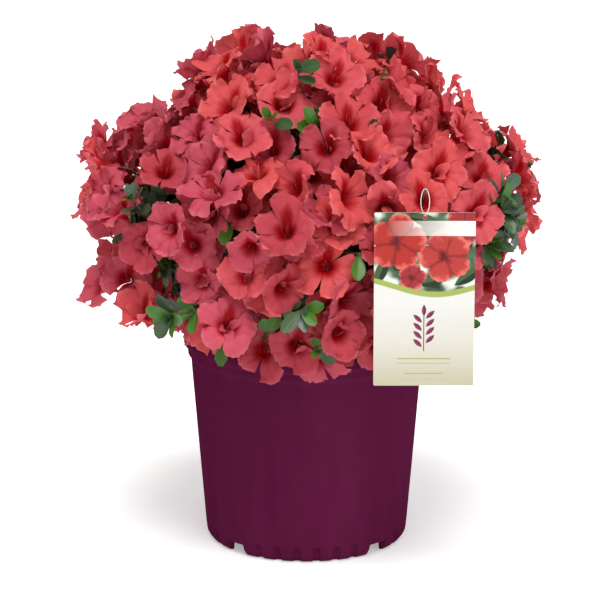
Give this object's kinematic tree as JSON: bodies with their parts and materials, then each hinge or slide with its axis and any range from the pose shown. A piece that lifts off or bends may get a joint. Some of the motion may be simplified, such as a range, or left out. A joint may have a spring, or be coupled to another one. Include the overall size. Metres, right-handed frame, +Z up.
{
  "type": "potted azalea shrub",
  "caption": "Dense domed azalea in full coral-red bloom, in a tapered fluted nursery pot, with a hang label on a thread loop.",
  "frame": {"origin": "centre of the pot's flat underside, where it stands", "axes": "+Z up along the pot's axis; -Y is the front, where the label hangs; +X is to the right seen from the front"},
  "size_m": [0.5292, 0.5135, 0.5766],
  "materials": {
    "pot": "satin moulded",
    "soil": "rough bark mix",
    "bark": "rough bark",
    "blossom": "soft petals and leaves",
    "label": "satin print",
    "thread": "matt thread"
  },
  "bodies": {
    "plant": {"pot": "pot", "soil": "soil", "trunk": "bark", "bough_skirt_1": "bark", "bough_skirt_2": "bark", "bough_skirt_3": "bark", "bough_skirt_4": "bark", "bough_skirt_5": "bark", "bough_skirt_6": "bark", "bough_skirt_7": "bark", "bough_flank_1": "bark", "bough_flank_2": "bark", "bough_flank_3": "bark", "bough_flank_4": "bark", "bough_flank_5": "bark", "bough_flank_6": "bark", "bough_flank_7": "bark", "bough_flank_8": "bark", "bough_shoulder_1": "bark", "bough_shoulder_2": "bark", "bough_shoulder_3": "bark", "bough_shoulder_4": "bark", "bough_shoulder_5": "bark", "blossom_skirt_1": "blossom", "blossom_skirt_2": "blossom", "blossom_skirt_3": "blossom", "blossom_skirt_4": "blossom", "blossom_skirt_5": "blossom", "blossom_skirt_6": "blossom", "blossom_skirt_7": "blossom", "blossom_flank_1": "blossom", "blossom_flank_2": "blossom", "blossom_flank_3": "blossom", "blossom_flank_4": "blossom", "blossom_flank_5": "blossom", "blossom_flank_6": "blossom", "blossom_flank_7": "blossom", "blossom_flank_8": "blossom", "blossom_shoulder_1": "blossom", "blossom_shoulder_2": "blossom", "blossom_shoulder_3": "blossom", "blossom_shoulder_4": "blossom", "blossom_shoulder_5": "blossom", "blossom_top": "blossom"},
    "label": {"label_card": "label", "label_loop": "thread"}
  },
  "joints": [
    {"name": "label_swing", "type": "hinge", "parent": "plant", "child": "label", "pos_m": [0.122, -0.25, 0.455], "axis": [0, 1, 0], "range_deg": [-10, 10]}
  ]
}
